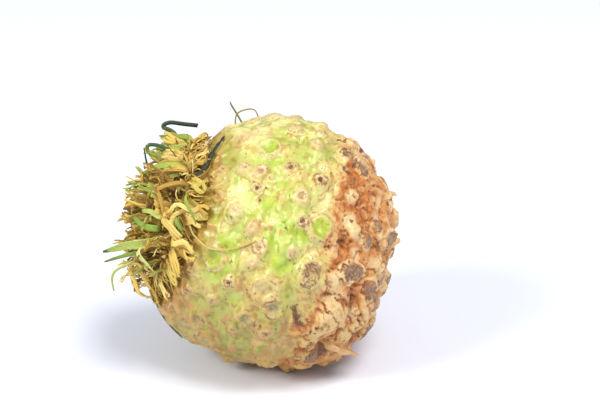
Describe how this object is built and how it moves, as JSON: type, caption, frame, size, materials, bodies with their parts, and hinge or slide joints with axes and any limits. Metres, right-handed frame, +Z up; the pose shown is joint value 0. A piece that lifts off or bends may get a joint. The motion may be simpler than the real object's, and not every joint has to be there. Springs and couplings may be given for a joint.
{
  "type": "celeriac",
  "caption": "Whole celeriac root lying on its side: a knobbly round bulb, cut roots at one end, a shaggy crown of trimmed leaf stalks at the other.",
  "frame": {"origin": "on the surface it lies on, in the middle of the flat spot under the bulb", "axes": "+Z up; -X towards the crown of leaf stalks; -Y the side seen in the picture"},
  "size_m": [0.1384, 0.1201, 0.1188],
  "materials": {
    "skin": "matt, waxy where it is green",
    "dry_stalk": "dry and papery",
    "green_stalk": "satin",
    "dark_shred": "satin",
    "fibre": "dry"
  },
  "bodies": {
    "root": {"bulb": "skin", "stalk_tuft": "dry_stalk", "stalk_top_fan": "green_stalk", "stalk_top_lower": "green_stalk", "stalk_loop": "green_stalk", "stalk_broad_upper": "green_stalk", "stalk_front_left": "green_stalk", "stalk_front_bright": "green_stalk", "stalk_front_small": "green_stalk", "stalk_neck": "green_stalk", "stalk_left_sheath": "green_stalk", "stalk_left_shred": "green_stalk", "stalk_pale_strip": "green_stalk", "stalk_tendril": "green_stalk", "shred_folded_tube": "dark_shred", "shred_spike": "dark_shred", "shred_shoulder": "dark_shred", "fibre_skin_loop": "fibre", "fibre_hanging": "fibre", "fibre_top_hook": "fibre", "fibre_top_bow": "fibre"}
  },
  "joints": []
}
